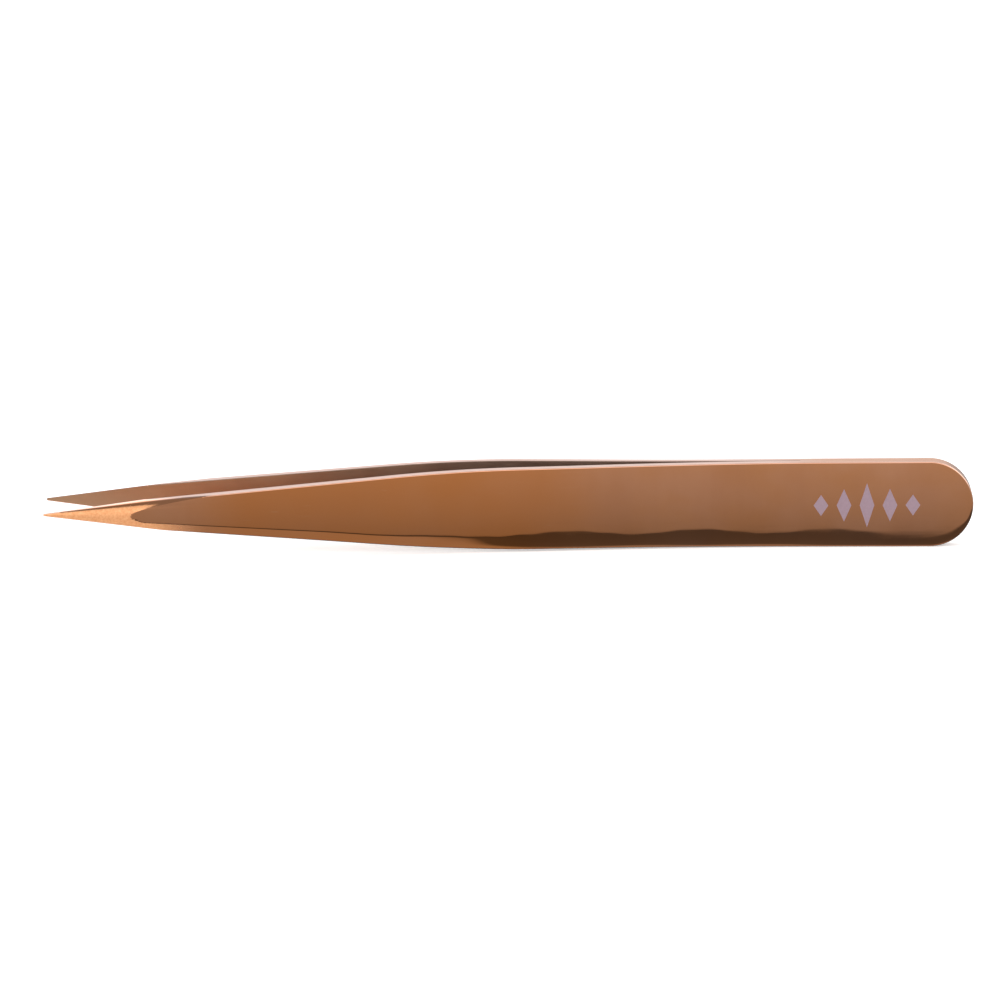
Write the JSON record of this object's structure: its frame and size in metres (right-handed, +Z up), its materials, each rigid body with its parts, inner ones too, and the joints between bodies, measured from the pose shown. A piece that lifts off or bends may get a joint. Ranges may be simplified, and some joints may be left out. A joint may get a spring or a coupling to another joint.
{
  "type": "pointed tweezers",
  "caption": "Slim needle-pointed tweezers with two bowed spring arms, a ground point on each and a rounded welded heel, in rose-gold coated steel.",
  "frame": {"origin": "bottom centre of the whole object, on the surface that its long edges stand on", "axes": "+X towards the round heel, the points at -X; +Y from the front arm to the rear arm, across the opening; +Z up the width of the arms"},
  "size_m": [0.095, 0.0094, 0.0089],
  "materials": {
    "coated_steel": "polished stainless steel with a rose-gold coating, the last few millimetres of each point ground to a bright satin",
    "weld_metal": "bare fused steel, hidden between the arms",
    "ground_weld": "weld ground flush with the heel, polished and coated with the arms",
    "ink": "thin matt lilac-grey printed ink"
  },
  "bodies": {
    "heel": {"front_arm_heel": "coated_steel", "rear_arm_heel": "coated_steel", "spot_welds": "weld_metal", "heel_seam_weld": "ground_weld", "printed_mark": "ink"},
    "front_arm": {"front_arm_blade": "coated_steel"},
    "rear_arm": {"rear_arm_blade": "coated_steel"}
  },
  "joints": [
    {"name": "front_arm_flex", "type": "hinge", "parent": "heel", "child": "front_arm", "pos_m": [0.0182, -0.00028, 0.00445], "axis": [0, 0, -1], "range_deg": [0, 3.24], "stiffness_Nm_per_rad": 1.2},
    {"name": "rear_arm_flex", "type": "hinge", "parent": "heel", "child": "rear_arm", "pos_m": [0.0182, 0.00028, 0.00445], "axis": [0, 0, 1], "range_deg": [0, 3.24], "stiffness_Nm_per_rad": 1.2}
  ]
}
